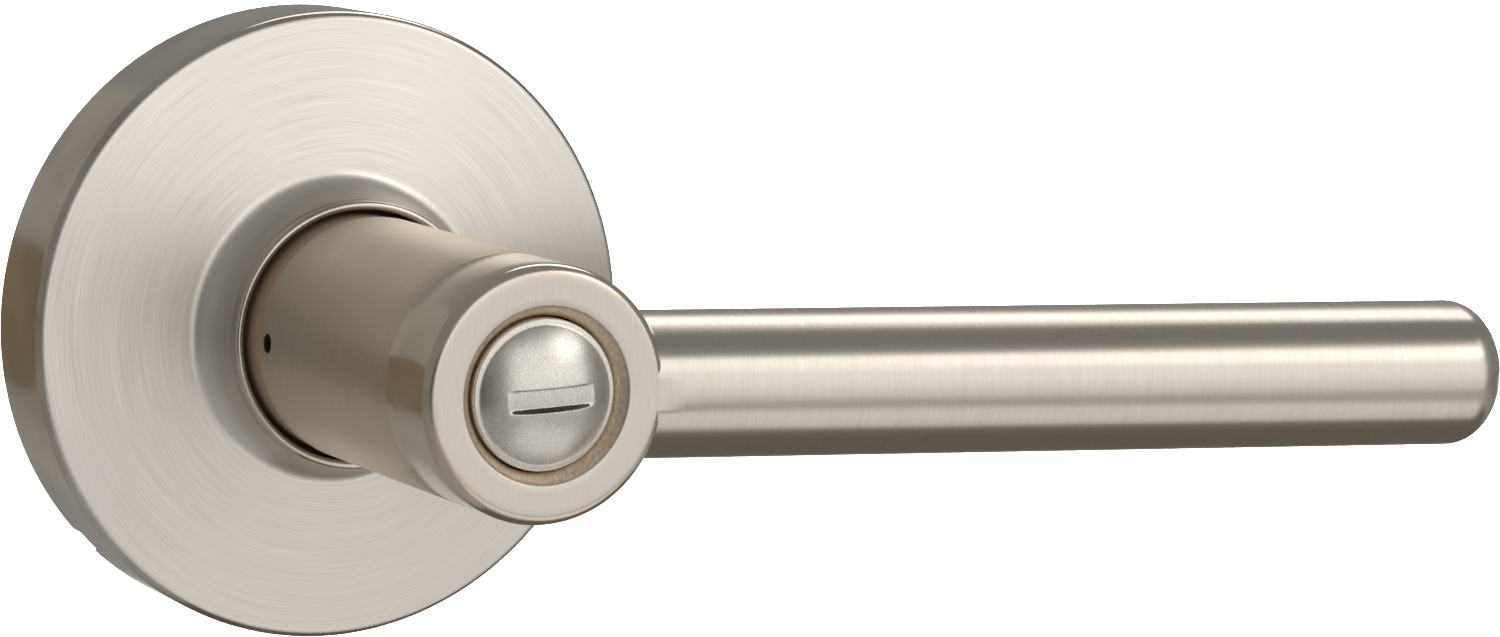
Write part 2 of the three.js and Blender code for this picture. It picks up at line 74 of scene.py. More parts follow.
BAR_FRONT = LEVER_LOW.y
BAR_END = LEVER_HIGH.x
BAR_RADIUS = 7.57
BAR_AXIS = BAR_FRONT + BAR_RADIUS
HUB_FRONT_RADIUS = -LEVER_LOW.x
HUB_BASE_RADIUS = 12.8
BAR_PROUD = 0.17                  # the bar's front stands this far in front of the hub's face
HUB_FACE = BAR_FRONT + BAR_PROUD
HUB_BASE = -22.2
NECK_RADIUS, NECK_BACK = 12.0, LEVER_HIGH.y
NECK_FRONT_RADIUS, NECK_STEP = 12.55, -15.4   # the thicker part that shows in the collar
SMOOTH_BAND = 10.2
POLISH_LINE = HUB_FACE + SMOOTH_BAND   # where the hub's side turns from brushed to smooth
RECESS_RADIUS, BUTTON_BORE = 9.05, 8.0
TUBE_BORE, STEM_HOLE, GUIDE_HOLE = 8.15, 3.7, 5.5
POCKET_FLOOR, GUIDE_SEAT, TUBE_SEAT = -54.0, -50.0, -46.0   # y of the steps inside the hub
PIN_HOLE_RADIUS, PIN_HOLE_Y = 1.0, -24.3

BUTTON_RADIUS = BUTTON_HIGH.x
BUTTON_CROWN, BUTTON_SKIRT = BUTTON_LOW.y, BUTTON_HIGH.y
BUTTON_BACK, BUTTON_HOLLOW = -62.2, 6.6   # y and radius of the hollow under the button's top
DOME_REACH = 1.6                  # the slot's cut and shade stop this far behind the crown


# -------------------------------------------------------------- outline tools

def arc(center, radii, start, end, steps):
    """Points on an ellipse's arc, angles in degrees from +radius towards +y, both ends included."""
    points = []
    for i in range(steps + 1):
        angle = math.radians(start + (end - start) * i / steps)
        points.append((center[0] + radii[0] * math.cos(angle), center[1] + radii[1] * math.sin(angle)))
    return points


def line(start, end, steps):
    """Evenly spaced points, both ends included."""
    return [(start[0] + (end[0] - start[0]) * i / steps, start[1] + (end[1] - start[1]) * i / steps)
            for i in range(steps + 1)]


def revolve(name, bands, materials, axis=Y_AXIS, around=AROUND, sharp=SHARP):
    """A closed turned body. bands is a list of (points, material index): the outline in order."""
    outline, band_material = [], []
    for points, index in bands:
        for point in points:
            if outline and math.dist(outline[-1], point) < SAME_POINT:
                continue
            outline.append(point)
            band_material.append(index)
    if math.dist(outline[0], outline[-1]) < SAME_POINT:
        outline.pop()
        band_material.pop()
    mesh_data = bmesh.new()
    rings = []
    for radius, along in outline:
        if radius < ON_AXIS:
            rings.append([mesh_data.verts.new(axis_point(axis, 0.0, 0.0, along))] * around)
            continue
        ring = []
        for i in range(around):
            angle = 2 * math.pi * i / around
            ring.append(mesh_data.verts.new(
                axis_point(axis, radius * math.cos(angle), radius * math.sin(angle), along)))
        rings.append(ring)
    for k, ring in enumerate(rings):
        following = rings[(k + 1) % len(rings)]
        if outline[k][0] < ON_AXIS and outline[(k + 1) % len(rings)][0] < ON_AXIS:
            continue
        for i in range(around):
            j = (i + 1) % around
            corners = list(dict.fromkeys((ring[i], ring[j], following[j], following[i])))
            face = mesh_data.faces.new(corners)
            face.material_index = band_material[(k + 1) % len(rings)]
            face.smooth = True
    bmesh.ops.recalc_face_normals(mesh_data, faces=mesh_data.faces)
    return finish_mesh(name, mesh_data, materials, sharp)


def axis_point(axis, across, up, along):
    if axis == Y_AXIS:
        return Vector((across, along, up)) * MM
    return Vector((along, across + BAR_AXIS, up)) * MM


def finish_mesh(name, mesh_data, materials, sharp):
    mesh = bpy.data.meshes.new(name)
    mesh_data.to_mesh(mesh)
    mesh_data.free()
    for material in materials:
        mesh.materials.append(material)
    mesh.set_sharp_from_angle(angle=math.radians(sharp))
    piece = bpy.data.objects.new(name, mesh)
    bpy.context.scene.collection.objects.link(piece)
    return piece


def bake_modifiers(piece):
    """Puts the result of the piece's modifiers into its mesh."""
    bpy.context.view_layer.update()
    evaluated = piece.evaluated_get(bpy.context.evaluated_depsgraph_get())
    mesh = bpy.data.meshes.new_from_object(evaluated)
    piece.modifiers.clear()
    piece.data = mesh


def boolean(piece, tool, operation):
    modifier = piece.modifiers.new(operation.lower(), "BOOLEAN")
    modifier.operation = operation
    modifier.solver = "EXACT"
    modifier.object = tool
    bake_modifiers(piece)
    bpy.data.objects.remove(tool)


def smoothstep(low, high, value):
    t = min(max((value - low) / (high - low), 0.0), 1.0)
    return t * t * (3 - 2 * t)


# ------------------------------------------------------------------ materials

MIX_FACTOR, MIX_FIRST, MIX_SECOND, MIX_RESULT = 0, 6, 7, 2   # the Mix node's colour sockets


class Nodes:
    """Short calls for building one material's node tree."""

    def __init__(self, name):
        self.material = bpy.data.materials.new(name)
        self.material.use_nodes = True
        self.tree = self.material.node_tree
        self.tree.nodes.clear()
        self.output = self.tree.nodes.new("ShaderNodeOutputMaterial")
        self.coordinates = self.tree.nodes.new("ShaderNodeTexCoord")

    def add(self, kind, **settings):
        node = self.tree.nodes.new(kind)
        for key, value in settings.items():
            setattr(node, key, value)
        return node

    def link(self, source, target):
        self.tree.links.new(source, target)

    def feed(self, socket, value):
        if isinstance(value, bpy.types.NodeSocket):
            self.link(value, socket)
        else:
            socket.default_value = value

    def math(self, operation, *values):
        node = self.add("ShaderNodeMath", operation=operation)
        for socket, value in zip(node.inputs, values):
            self.feed(socket, value)
        return node.outputs[0]

    def position(self):
        """The row frame's x, y and z in millimetres."""
        split = self.add("ShaderNodeSeparateXYZ")
        self.link(self.coordinates.outputs["Object"], split.inputs[0])
        return [self.math("DIVIDE", split.outputs[i], MM) for i in range(3)]

    def vector(self, x, y, z):
        node = self.add("ShaderNodeCombineXYZ")
        for socket, value in zip(node.inputs, (x, y, z)):
            self.feed(socket, value)
        return node.outputs[0]

    def noise(self, vector, scale, detail=2.0, roughness=0.5):
        node = self.add("ShaderNodeTexNoise")
        self.feed(node.inputs["Vector"], vector)
        node.inputs["Scale"].default_value = scale
        node.inputs["Detail"].default_value = detail
        node.inputs["Roughness"].default_value = roughness
        return node.outputs["Fac"]

    def object_noise(self, scale, detail=2.0, roughness=0.5):
        """Noise in the object's own coordinates: metres, or shares of a card's sides."""
        return self.noise(self.coordinates.outputs["Object"], scale, detail, roughness)

    def remap(self, value, low, high, to_low, to_high):
        node = self.add("ShaderNodeMapRange")
        for socket, number in zip(node.inputs, (value, low, high, to_low, to_high)):
            self.feed(socket, number)
        return node.outputs[0]

    def mix_color(self, factor, first, second):
        node = self.add("ShaderNodeMix", data_type="RGBA")
        self.feed(node.inputs[MIX_FACTOR], factor)
        self.feed(node.inputs[MIX_FIRST], first)
        self.feed(node.inputs[MIX_SECOND], second)
        return node.outputs[MIX_RESULT]

    def bump(self, height, distance_mm):
        node = self.add("ShaderNodeBump")
        node.inputs["Strength"].default_value = 1.0
        node.inputs["Distance"].default_value = distance_mm * MM
        self.link(height, node.inputs["Height"])
        return node.outputs[0]

    def surface(self, color, roughness, metallic, normal, anisotropy=0.0, turn=0.0, tangent_axis=None):
        shader = self.add("ShaderNodeBsdfPrincipled")
        self.feed(shader.inputs["Base Color"], color)
        self.feed(shader.inputs["Roughness"], roughness)
        shader.inputs["Metallic"].default_value = metallic
        shader.inputs["Anisotropic"].default_value = anisotropy
        shader.inputs["Anisotropic Rotation"].default_value = turn
        if normal is not None:
            self.link(normal, shader.inputs["Normal"])
        if tangent_axis:
            tangent = self.add("ShaderNodeTangent", direction_type="RADIAL", axis=tangent_axis)
            self.link(tangent.outputs[0], shader.inputs["Tangent"])
        self.link(shader.outputs[0], self.output.inputs["Surface"])
        return self.material

    def glow(self, color, strength):
        shader = self.add("ShaderNodeEmission")
        shader.inputs["Color"].default_value = color
        self.link(strength, shader.inputs["Strength"])
        self.link(shader.outputs[0], self.output.inputs["Surface"])
        return self.material


NICKEL = (0.62, 0.585, 0.54, 1.0)
NICKEL_DARK = (0.50, 0.465, 0.42, 1.0)
NICKEL_WARM = (0.66, 0.54, 0.43, 1.0)
ACROSS_BRUSH = 0.25   # turns the anisotropy from along the tangent to across it
BRUSH_TURNS = 2.3     # radius of the circle that the noise is read round: smaller makes longer lines
PATCH_TO_GRAIN = 0.15

# Stretches of the noise's 0 to 1 that are spread over a whole range: the shorter, the starker.
SOFT, MEDIUM, STARK, STARKEST = (0.3, 0.7), (0.35, 0.65), (0.38, 0.62), (0.4, 0.6)


def turned_grain(nodes, fineness):
    """Fine broken lines that run round the spindle's axis: returns the streak value."""
    x, y, z = nodes.position()
    radius = nodes.math("SQRT", nodes.math("ADD", nodes.math("POWER", x, 2.0), nodes.math("POWER", z, 2.0)))
    across = nodes.math("MULTIPLY", nodes.math("ADD", radius, y), fineness)
    turns = [nodes.math("MULTIPLY", nodes.math("DIVIDE", side, radius), BRUSH_TURNS) for side in (x, z)]
    return nodes.noise(nodes.vector(across, *turns), 1.0, 3.0, 0.62)


def drawn_grain(nodes, position, scales, roughness=0.5):
    """Noise with its own number of steps per millimetre along x, y and z."""
    stretched = [nodes.math("MULTIPLY", value, scale) for value, scale in zip(position, scales)]
    return nodes.noise(nodes.vector(*stretched), 1.0, 2.0, roughness)


def rose_face_material():
    """Circular satin brushing with long, slightly uneven arcs."""
    nodes = Nodes("rose_face_brushed_nickel")
    fine = turned_grain(nodes, 10.0)
    broad = turned_grain(nodes, 4.0)
    streak = nodes.math("ADD", nodes.math("MULTIPLY", fine, 0.9), nodes.math("MULTIPLY", broad, 0.1))
    color = nodes.mix_color(nodes.remap(streak, *SOFT, 0.0, 1.0),
                            (0.615, 0.59, 0.555, 1.0), (0.785, 0.755, 0.71, 1.0))
    roughness = nodes.remap(streak, *SOFT, 0.36, 0.3)
    normal = nodes.bump(fine, 0.0022)
    return nodes.surface(color, roughness, 1.0, normal, 0.55, ACROSS_BRUSH, "Y")


def polished_rim_material():
    """Buffed plate on the rose's wall and lip, with faint polishing marks."""
    nodes = Nodes("rose_rim_polished_nickel")
    fine = turned_grain(nodes, 5.0)
    smudge = nodes.object_noise(90.0, 3.0)
    color = nodes.mix_color(nodes.remap(smudge, *STARKEST, 0.0, 1.0), NICKEL_DARK, NICKEL)
    roughness = nodes.remap(smudge, *MEDIUM, 0.09, 0.16)
    return nodes.surface(color, roughness, 1.0, nodes.bump(fine, 0.0012), 0.3, ACROSS_BRUSH, "Y")


def hub_side_material():
    """Fine brushing round the hub, with a slightly warm cast."""
    nodes = Nodes("hub_side_brushed_nickel")
    fine = turned_grain(nodes, 4.5)
    cloud = nodes.object_noise(120.0, 3.0)
    color = nodes.mix_color(nodes.remap(fine, *SOFT, 0.0, 1.0),
                            (0.60, 0.53, 0.44, 1.0), (0.67, 0.6, 0.51, 1.0))
    roughness = nodes.remap(cloud, *SOFT, 0.27, 0.33)
    return nodes.surface(color, roughness, 1.0, nodes.bump(fine, 0.0008), 0.6, ACROSS_BRUSH, "Y")


def hub_smooth_material():
    """The smooth band behind the hub's front edge."""
    nodes = Nodes("hub_front_smooth_nickel")
    fine = turned_grain(nodes, 6.0)
    cloud = nodes.object_noise(150.0, 3.0)
    color = nodes.mix_color(nodes.remap(cloud, *MEDIUM, 0.0, 1.0),
                            (0.58, 0.53, 0.465, 1.0), (0.64, 0.59, 0.52, 1.0))
    roughness = nodes.remap(cloud, *SOFT, 0.1, 0.15)
    return nodes.surface(color, roughness, 1.0, nodes.bump(fine, 0.001), 0.3, ACROSS_BRUSH, "Y")


def hub_edge_material():
    """Rounded front edge, buffed through to a warmer tone."""
    nodes = Nodes("hub_edge_buffed_nickel")
    cloud = nodes.object_noise(220.0, 3.0)
    color = nodes.mix_color(nodes.remap(cloud, *MEDIUM, 0.0, 1.0), NICKEL_WARM, NICKEL)
    roughness = nodes.remap(cloud, *SOFT, 0.18, 0.26)
    return nodes.surface(color, roughness, 1.0, nodes.bump(cloud, 0.004))


def ring_face_material():
    """Flat ring round the button, brushed straight up and down."""
    nodes = Nodes("hub_face_brushed_nickel")
    fineness, length_scale = 9.0, 0.35      # noise steps per millimetre, across and along the lines
    x, y, z = nodes.position()
    across = nodes.math("MULTIPLY", x, fineness)
    along = nodes.math("MULTIPLY", z, length_scale)
    grain = nodes.noise(nodes.vector(across, 0.0, along), 1.0, 3.0, 0.6)
    color = nodes.mix_color(nodes.remap(grain, *SOFT, 0.45, 0.95), NICKEL_DARK, NICKEL)
    roughness = nodes.remap(grain, *SOFT, 0.34, 0.3)
    return nodes.surface(color, roughness, 1.0, nodes.bump(grain, 0.0012))


def bar_material():
    """Brushing round the bar, so its reflections smear along its length."""
    nodes = Nodes("bar_brushed_nickel")
    position = nodes.position()
    fine = drawn_grain(nodes, position, (14.0, 0.3, 0.3), 0.55)
    broad = drawn_grain(nodes, position, (0.9, 0.15, 0.15))
    streak = nodes.math("ADD", nodes.math("MULTIPLY", fine, 0.75), nodes.math("MULTIPLY", broad, 0.25))
    color = nodes.mix_color(nodes.remap(streak, *SOFT, 0.35, 0.95), NICKEL_DARK, NICKEL)
    roughness = nodes.remap(streak, *SOFT, 0.28, 0.24)
    return nodes.surface(color, roughness, 1.0, nodes.bump(fine, 0.0009), 0.6, ACROSS_BRUSH, "X")


def cast_recess_material():
    """Rough, tan, as-cast surface round the button."""
    nodes = Nodes("recess_as_cast")
    grit = nodes.object_noise(2600.0, 4.0, 0.7)
    patch = nodes.object_noise(700.0, 2.0)
    color = nodes.mix_color(nodes.remap(grit, *STARK, 0.0, 1.0),
                            (0.66, 0.56, 0.43, 1.0), (0.90, 0.81, 0.68, 1.0))
    roughness = nodes.remap(patch, *SOFT, 0.4, 0.5)
    return nodes.surface(color, roughness, 0.9, nodes.bump(grit, 0.012))


def blasted_material():
    """Bead-blasted button with a fine grain."""
    nodes = Nodes("button_blasted_nickel")
    grain = nodes.object_noise(7000.0, 2.0, 0.6)
    patch = nodes.object_noise(500.0, 2.0)
    color = nodes.mix_color(nodes.remap(grain, *STARKEST, 0.0, 1.0),
                            (0.51, 0.495, 0.46, 1.0), (0.67, 0.65, 0.615, 1.0))
    roughness = nodes.remap(patch, *SOFT, 0.25, 0.3)
    return nodes.surface(color, roughness, 1.0, nodes.bump(grain, 0.006))


def slot_shade_material():
    """Grime and shade along the slot's deep lower wall."""
    nodes = Nodes("slot_shaded_nickel")
    grit = nodes.object_noise(4000.0, 3.0)
    color = nodes.mix_color(grit, (0.05, 0.04, 0.03, 1.0), (0.14, 0.115, 0.085, 1.0))
    return nodes.surface(color, nodes.remap(grit, *SOFT, 0.4, 0.6), 0.9, nodes.bump(grit, 0.01))


def neck_material():
    """Duller, browner plate on the neck inside the collar."""
    nodes = Nodes("neck_dull_nickel")
    fine = turned_grain(nodes, 4.0)
    color = nodes.mix_color(nodes.remap(fine, *SOFT, 0.0, 1.0),
                            (0.50, 0.39, 0.27, 1.0), (0.60, 0.48, 0.35, 1.0))
    return nodes.surface(color, nodes.remap(fine, *SOFT, 0.5, 0.4), 0.4, nodes.bump(fine, 0.003))


def bore_painted_shade_material():
    """Unfinished metal inside the neck and the bores, painted near-black as the shade deep in the holes."""
    nodes = Nodes("bore_cast_painted_shade")
    grit = nodes.object_noise(900.0, 3.0)
    color = nodes.mix_color(grit, (0.06, 0.05, 0.045, 1.0), (0.16, 0.145, 0.13, 1.0))
    return nodes.surface(color, nodes.remap(grit, *SOFT, 0.4, 0.6), 0.8, nodes.bump(grit, 0.03))


def plain_part_material(name, dark, light, metallic, rough_low, rough_high, grain_scale, depth):
    """A hidden part's surface: mottled colour, uneven gloss and a fine grain."""
    nodes = Nodes(name)
    grain = nodes.object_noise(grain_scale, 4.0, 0.6)
    patch = nodes.object_noise(grain_scale * PATCH_TO_GRAIN, 3.0)
    color = nodes.mix_color(nodes.remap(patch, *MEDIUM, 0.0, 1.0), dark, light)
    roughness = nodes.remap(grain, *SOFT, rough_low, rough_high)
    return nodes.surface(color, roughness, metallic, nodes.bump(grain, depth))


ROSE_FACE = rose_face_material()
RIM = polished_rim_material()
HUB_SIDE = hub_side_material()
HUB_SMOOTH = hub_smooth_material()
HUB_EDGE = hub_edge_material()
RING_FACE = ring_face_material()
BAR = bar_material()
NECK = neck_material()
RECESS = cast_recess_material()
BLASTED = blasted_material()
SLOT_SHADE = slot_shade_material()
BORE = bore_painted_shade_material()
PLATED = plain_part_material("plated_steel", (0.42, 0.41, 0.36, 1), (0.58, 0.57, 0.52, 1),
                             metallic=1.0, rough_low=0.28, rough_high=0.42, grain_scale=1500.0, depth=0.01)
ZINC = plain_part_material("cast_zinc", (0.26, 0.26, 0.27, 1), (0.38, 0.38, 0.39, 1),
                           metallic=1.0, rough_low=0.45, rough_high=0.6, grain_scale=1200.0, depth=0.03)
SPRING = plain_part_material("spring_steel", (0.12, 0.115, 0.11, 1), (0.22, 0.21, 0.2, 1),
                             metallic=1.0, rough_low=0.25, rough_high=0.38, grain_scale=2000.0, depth=0.006)
BLACK_NYLON = plain_part_material("black_nylon", (0.012, 0.012, 0.012, 1), (0.025, 0.025, 0.025, 1),
                                  metallic=0.0, rough_low=0.45, rough_high=0.6, grain_scale=2500.0, depth=0.01)
WHITE_NYLON = plain_part_material("white_nylon", (0.66, 0.63, 0.56, 1), (0.75, 0.73, 0.67, 1),
                                  metallic=0.0, rough_low=0.4, rough_high=0.55, grain_scale=2500.0, depth=0.008)


# --------------------------------------------------------------------- pieces

# Each piece's materials, and the names of their places in the list.
ROSE_MATERIALS = [ROSE_FACE, RIM, PLATED]
DISHED, POLISHED, INSIDE = range(3)
HUB_MATERIALS = [HUB_SIDE, HUB_SMOOTH, HUB_EDGE, RING_FACE, RECESS, BORE, BAR, NECK]
ON_SIDE, ON_SMOOTH, ON_EDGE, ON_RING, IN_RECESS, IN_BORE, ON_BAR, ON_NECK = range(8)
BUTTON_MATERIALS = [BLASTED, RECESS, SLOT_SHADE]
ON_TOP, ON_SKIRT, IN_SLOT = range(3)


def make_rose():
    """Pressed rose: polished wall and edge, brushed dished face, filleted collar with a rolled lip."""
    lean = 0.4                        # the wall's radius is this much smaller at the door
    wall_end = -10.1
    edge_width, edge_height, edge_shift = 1.0, 1.1, 0.1
    face_end = (16.9, -12.95)         # where the dished face meets the collar's fillet
    fillet_stop = 1.6                 # the fillet ends this far behind the lip's front
    bead_inset, bead_step = 0.38, 0.02
    bead_back, slope_end, bore_start = 0.75, 1.4, 1.5   # inside the collar, behind the lip's front
    wall_points = 9                   # of the edge's points are polished, and the rest are brushed
    inner_edge, inner_rounding = 1.6, 0.5   # the sheet's inside, where the wall meets the face
    back = ROSE_RADIUS - lean
    edge = arc((ROSE_RADIUS - edge_width, wall_end - edge_shift), (edge_width, edge_height), 0, -88, 12)
    fillet = arc((face_end[0], ROSE_LIP + fillet_stop),
                 (face_end[0] - COLLAR_OUTER, ROSE_LIP + fillet_stop - face_end[1]), -90, -180, 16)
    bead = COLLAR_BORE - bead_inset   # the rolled lip stands a little inside the collar's bore
    lip_radius = (COLLAR_OUTER - bead) / 2
    lip = arc(((COLLAR_OUTER + bead) / 2, ROSE_LIP + lip_radius), (lip_radius, lip_radius), 0, -180, 14)
    bands = [
        (line((back, 0.0), (ROSE_RADIUS, wall_end), 3), POLISHED),
        (edge[:wall_points], POLISHED),
        (edge[wall_points:], DISHED),
        (line(edge[-1], face_end, 10), DISHED),
        (fillet, DISHED),
        (line(fillet[-1], lip[0], 2), POLISHED),
        (lip, POLISHED),
        (line((bead + bead_step, ROSE_LIP + bead_back), (COLLAR_BORE, ROSE_LIP + slope_end), 2), INSIDE),
        (line((COLLAR_BORE, ROSE_LIP + bore_start), (COLLAR_BORE, face_end[1] - inner_rounding), 2), INSIDE),
        (line((face_end[0] - SHEET, face_end[1] + SHEET),
              (ROSE_RADIUS - inner_edge, wall_end - edge_shift), 2), INSIDE),
        (line((ROSE_RADIUS - SHEET, wall_end + inner_rounding), (back - SHEET, 0.0), 1), INSIDE),
    ]
    rose = revolve("rose_shell", bands, ROSE_MATERIALS)
    boolean(rose, notch_tool(), "DIFFERENCE")
    rose.data.set_sharp_from_angle(angle=math.radians(SHARP))
    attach(rose, "root")
    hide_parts("rose_cover")


def notch_tool():
    """A block across the rose's back edge, where a blade pries the rose off."""
    mesh_data = bmesh.new()
    bmesh.ops.create_cube(mesh_data, size=1.0)
    through = 4.0        # mm: more than the wall's thickness
    across, deep, along = through * MM, 2 * NOTCH_DEPTH * MM, NOTCH_WIDTH * MM
    turn = Matrix.Rotation(-math.radians(NOTCH_ANGLE), 4, "Y")
    place = turn @ Matrix.Translation((ROSE_RADIUS * MM, 0, 0))
    bmesh.ops.transform(mesh_data, matrix=place @ Matrix.Diagonal((across, deep, along, 1.0)),
                        verts=mesh_data.verts)
    return finish_mesh("notch_tool", mesh_data, ROSE_MATERIALS, FLAT_SHARP)


def make_hub_mesh():
    """Turned hub: neck, chamfered base, brushed side, smooth front band, rounded edge and dished face."""
    rounding = 1.25
    edge = arc((HUB_FRONT_RADIUS - rounding, HUB_FACE + rounding), (rounding, rounding), 0, -90, 12)
    polish_radius = HUB_BASE_RADIUS + (HUB_FRONT_RADIUS - HUB_BASE_RADIUS) * (
        (HUB_BASE - POLISH_LINE) / (HUB_BASE - HUB_FACE))
    base_slope, chamfer = 0.25, 0.1
    step, step_length = 0.02, 0.15          # the shallow step where the smooth band starts
    smooth_steps, edge_steps = 8, 11        # of the rounded edge's points
    recess_rounding = 0.25
    dish, bore_start, bore_dark = 1.4, 1.5, 3.0   # behind the hub's face; from bore_dark inwards the bore has the near-black painted shade
    bands = [
        (line((TUBE_BORE, NECK_BACK), (NECK_RADIUS, NECK_BACK), 1), IN_BORE),
        (line((NECK_RADIUS, NECK_BACK), (NECK_RADIUS, NECK_STEP), 2), ON_NECK),
        (line((NECK_FRONT_RADIUS, NECK_STEP), (NECK_FRONT_RADIUS, HUB_BASE + base_slope), 6), ON_NECK),
        (line((HUB_BASE_RADIUS - chamfer, HUB_BASE + chamfer), (HUB_BASE_RADIUS, HUB_BASE), 1), ON_SMOOTH),
        (line((HUB_BASE_RADIUS, HUB_BASE), (polish_radius, POLISH_LINE), 8), ON_SIDE),
        (line((polish_radius - step, POLISH_LINE - step_length), edge[0], 4), ON_SMOOTH),
        (edge[:smooth_steps], ON_SMOOTH),
        (edge[smooth_steps:edge_steps], ON_EDGE),
        (edge[edge_steps:], ON_RING),
        (line(edge[-1], (RECESS_RADIUS + recess_rounding, HUB_FACE), 4), ON_RING),
        (arc((RECESS_RADIUS + recess_rounding, HUB_FACE + recess_rounding),
             (recess_rounding, recess_rounding), -90, -180, 4), ON_RING),
        (line((RECESS_RADIUS, HUB_FACE + recess_rounding),
              (BUTTON_BORE + step, HUB_FACE + dish), 3), IN_RECESS),
        (line((BUTTON_BORE, HUB_FACE + bore_start), (BUTTON_BORE, HUB_FACE + bore_dark), 2), IN_RECESS),
        # From here inwards the bore takes the near-black painted shade.
        (line((BUTTON_BORE, HUB_FACE + bore_dark), (BUTTON_BORE, POCKET_FLOOR), 4), IN_BORE),
        (line((BUTTON_BORE, POCKET_FLOOR), (STEM_HOLE, POCKET_FLOOR), 2), IN_BORE),
        (line((STEM_HOLE, POCKET_FLOOR), (STEM_HOLE, GUIDE_SEAT), 1), IN_BORE),
        (line((STEM_HOLE, GUIDE_SEAT), (GUIDE_HOLE, GUIDE_SEAT), 1), IN_BORE),
        (line((GUIDE_HOLE, GUIDE_SEAT), (GUIDE_HOLE, TUBE_SEAT), 1), IN_BORE),
        (line((GUIDE_HOLE, TUBE_SEAT), (TUBE_BORE, TUBE_SEAT), 1), IN_BORE),
        (line((TUBE_BORE, TUBE_SEAT), (TUBE_BORE, NECK_BACK), 2), IN_BORE),
    ]
    return revolve("lever_casting", bands, HUB_MATERIALS)


def make_bar_mesh():
    """Round bar with a domed end. Its root flares into the hub's side and sinks behind the hub's face."""
    root, near_end = 9.8, 15.5       # closely spaced rings from one to the other, for the flare
    nose = 5.3
    nose_start = BAR_END - nose
    near = line((BAR_RADIUS, root), (BAR_RADIUS, near_end), 40)
    along = line((BAR_RADIUS, near_end), (BAR_RADIUS, nose_start), 24)
    tip = arc((0.0, nose_start), (BAR_RADIUS, nose), 0, 90, 24)
    bands = [(points, ON_BAR) for points in ([(0.0, root)], near, along, tip)]
    bar = revolve("bar", bands, [BAR] * (ON_BAR + 1), X_AXIS, BAR_AROUND)
    for vertex in bar.data.vertices:
        vertex.co = flare(vertex.co / MM) * MM
    return bar


def flare(point):
    """Moves a point near the bar's root so that the bar blends into the hub."""
    x, y, z = point
    fillet, flare_share = 1.0, 0.7
    flare_from, flare_full = 1.0, 4.0      # behind the hub's face
    sink_from, sink_end, sink_depth = 12.0, 17.0, 0.05
    hub_side = math.sqrt(max(HUB_FRONT_RADIUS ** 2 - z * z, 0.0))
    beyond = x - hub_side
    if beyond < fillet:
        grow = 1 - math.sqrt(max(1 - (1 - min(max(beyond, 0.0) / fillet, 1.0)) ** 2, 0.0))
        weight = smoothstep(HUB_FACE + flare_from, HUB_FACE + flare_full, y)
        scale = 1 + fillet * flare_share * grow * weight / BAR_RADIUS
        y = BAR_AXIS + (y - BAR_AXIS) * scale
        z = z * scale
    sunk = HUB_FACE + sink_depth
    if y < sunk:
        y = sunk + (y - sunk) * smoothstep(sink_from, sink_end, x)
    return Vector((x, y, z))


def make_lever():
    lever = make_hub_mesh()
    inner, outer = 10.3, 14.5        # the pin hole's tool runs between these distances from the axis
    bands = [(line((0.0, inner), (PIN_HOLE_RADIUS, inner), 1), IN_BORE),
             (line((PIN_HOLE_RADIUS, inner), (PIN_HOLE_RADIUS, outer), 1), IN_BORE),
             ([(0.0, outer)], IN_BORE)]
    # The pin hole's walls take the bore's near-black painted shade.
    hole = revolve("hole_tool", bands, [BORE] * (IN_BORE + 1), Y_AXIS, HOLE_AROUND)
    hole.data.transform(Matrix.Translation((0, PIN_HOLE_Y * MM, 0)) @ Matrix.Rotation(math.pi / 2, 4, "Z"))
    boolean(lever, hole, "DIFFERENCE")
    boolean(lever, make_bar_mesh(), "UNION")
    lever.data.set_sharp_from_angle(angle=math.radians(SHARP))
    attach(lever, "lever")
    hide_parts("lever_body")


def slot_depth(x, z, dome):
    """How far the coined slot lies below the button's dome at a point. Its lower side is a slope."""
    length, width, turn = 9.4, 2.4, math.radians(4.6)
    right, down = 0.3, 0.3                    # the slot's middle, from the button's centre
    depth, tilt, dome_share = 0.52, 0.1, 0.5
    end_out, end_in = 0.2, 0.4                # the walls rise between these, outside and inside the outline
    upper_out, upper_in = 0.1, 0.1
    lower_out, lower_in = 0.05, 0.55
    x, z = x - right, z + down
    along = x * math.cos(turn) + z * math.sin(turn)
    across = -x * math.sin(turn) + z * math.cos(turn)
    floor = BUTTON_CROWN + depth - tilt * (across / width) + dome_share * (dome - BUTTON_CROWN)
    inside = smoothstep(length / 2 + end_out, length / 2 - end_in, abs(along)) * min(
        smoothstep(width / 2 + upper_out, width / 2 - upper_in, across),
        smoothstep(-width / 2 - lower_out, -width / 2 + lower_in, across))
    return max(floor - dome, 0.0) * inside


def button_outline():
    """The button's top from its centre outwards: a dome, a shallow trough and a rounded edge."""
    dome_sphere, dome_end, dome_steps = 13.2, 6.95, 100
    trough_width, trough_steps, trough_lean = 0.4, 8, 0.12
    rim_end, rim_drop, edge_height = 7.55, 0.03, 0.3
    dome = []
    for i in range(dome_steps + 1):
        radius = dome_end * i / dome_steps
        dome.append((radius, BUTTON_CROWN + dome_sphere - math.sqrt(dome_sphere ** 2 - radius ** 2)))
    slope = math.tan(math.asin(dome_end / dome_sphere))
    foot = dome[-1][1]
    trough = []
    for i in range(1, trough_steps + 1):
        step = trough_width * i / trough_steps
        fall = slope * (step - step * step / (2 * trough_width))
        trough.append((dome_end + step, foot + fall + trough_lean * step))
    edge_y = trough[-1][1] + rim_drop
    edge = arc((rim_end, edge_y + edge_height), (BUTTON_RADIUS - rim_end, edge_height), -90, 0, 8)
    return dome + trough + edge


